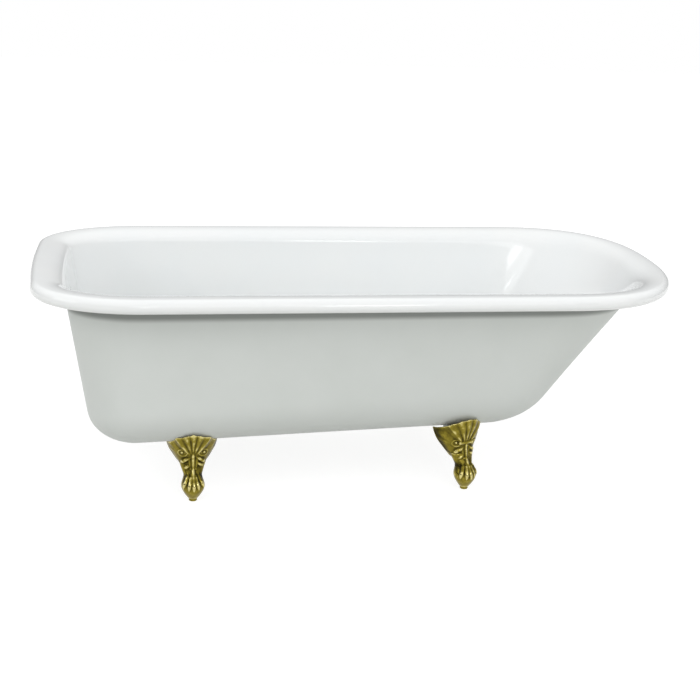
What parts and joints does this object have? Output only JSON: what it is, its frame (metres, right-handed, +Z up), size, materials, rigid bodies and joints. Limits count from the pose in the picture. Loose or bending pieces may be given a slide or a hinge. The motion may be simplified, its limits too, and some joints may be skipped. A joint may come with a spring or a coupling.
{
  "type": "clawfoot bathtub",
  "caption": "Freestanding roll-rim bathtub with one sloping round end and one squared end, white enamel inside, painted outside, standing on brass ball-and-claw feet.",
  "frame": {"origin": "on the floor under the middle of the rim's bounding box", "axes": "+X toward the sloping head end, +Y to the far side, +Z up"},
  "size_m": [1.676, 0.7626, 0.5562],
  "materials": {
    "tub_iron": "cast iron, white vitreous enamel inside, pale grey paint outside",
    "foot_brass": "aged antique brass with dark recesses",
    "glide_brass": "aged brass",
    "screw_steel": "zinc plated",
    "fixing_steel": "zinc plated"
  },
  "bodies": {
    "tub": {"tub_casting": "tub_iron", "foot_drain_near": "foot_brass", "foot_drain_far": "foot_brass", "foot_head_near": "foot_brass", "foot_head_far": "foot_brass", "mounting_studs": "fixing_steel", "stud_washers": "fixing_steel", "stud_nuts": "fixing_steel"},
    "glide_drain_near": {"glide_drain_near": "glide_brass"},
    "screw_drain_near": {"levelling_screw_drain_near": "screw_steel"},
    "glide_drain_far": {"glide_drain_far": "glide_brass"},
    "screw_drain_far": {"levelling_screw_drain_far": "screw_steel"},
    "glide_head_near": {"glide_head_near": "glide_brass"},
    "screw_head_near": {"levelling_screw_head_near": "screw_steel"},
    "glide_head_far": {"glide_head_far": "glide_brass"},
    "screw_head_far": {"levelling_screw_head_far": "screw_steel"}
  },
  "joints": [
    {"name": "glide_travel_drain_near", "type": "slide", "parent": "tub", "child": "glide_drain_near", "axis": [0, 0, -1], "range_m": [0, 0.01]},
    {"name": "screw_turn_drain_near", "type": "hinge", "parent": "glide_drain_near", "child": "screw_drain_near", "pos_m": [-0.44, -0.28, 0.02], "axis": [0, 0, -1], "range_deg": [0, 2400]},
    {"name": "glide_travel_drain_far", "type": "slide", "parent": "tub", "child": "glide_drain_far", "axis": [0, 0, -1], "range_m": [0, 0.01]},
    {"name": "screw_turn_drain_far", "type": "hinge", "parent": "glide_drain_far", "child": "screw_drain_far", "pos_m": [-0.44, 0.28, 0.02], "axis": [0, 0, -1], "range_deg": [0, 2400]},
    {"name": "glide_travel_head_near", "type": "slide", "parent": "tub", "child": "glide_head_near", "axis": [0, 0, -1], "range_m": [0, 0.01]},
    {"name": "screw_turn_head_near", "type": "hinge", "parent": "glide_head_near", "child": "screw_head_near", "pos_m": [0.274, -0.261, 0.02], "axis": [0, 0, -1], "range_deg": [0, 2400]},
    {"name": "glide_travel_head_far", "type": "slide", "parent": "tub", "child": "glide_head_far", "axis": [0, 0, -1], "range_m": [0, 0.01]},
    {"name": "screw_turn_head_far", "type": "hinge", "parent": "glide_head_far", "child": "screw_head_far", "pos_m": [0.274, 0.261, 0.02], "axis": [0, 0, -1], "range_deg": [0, 2400]}
  ],
  "couplings": [
    {"joint": "screw_turn_drain_near", "follows": "glide_travel_drain_near", "rad_per_m": 4188.8},
    {"joint": "screw_turn_drain_far", "follows": "glide_travel_drain_far", "rad_per_m": 4188.8},
    {"joint": "screw_turn_head_near", "follows": "glide_travel_head_near", "rad_per_m": 4188.8},
    {"joint": "screw_turn_head_far", "follows": "glide_travel_head_far", "rad_per_m": 4188.8}
  ]
}
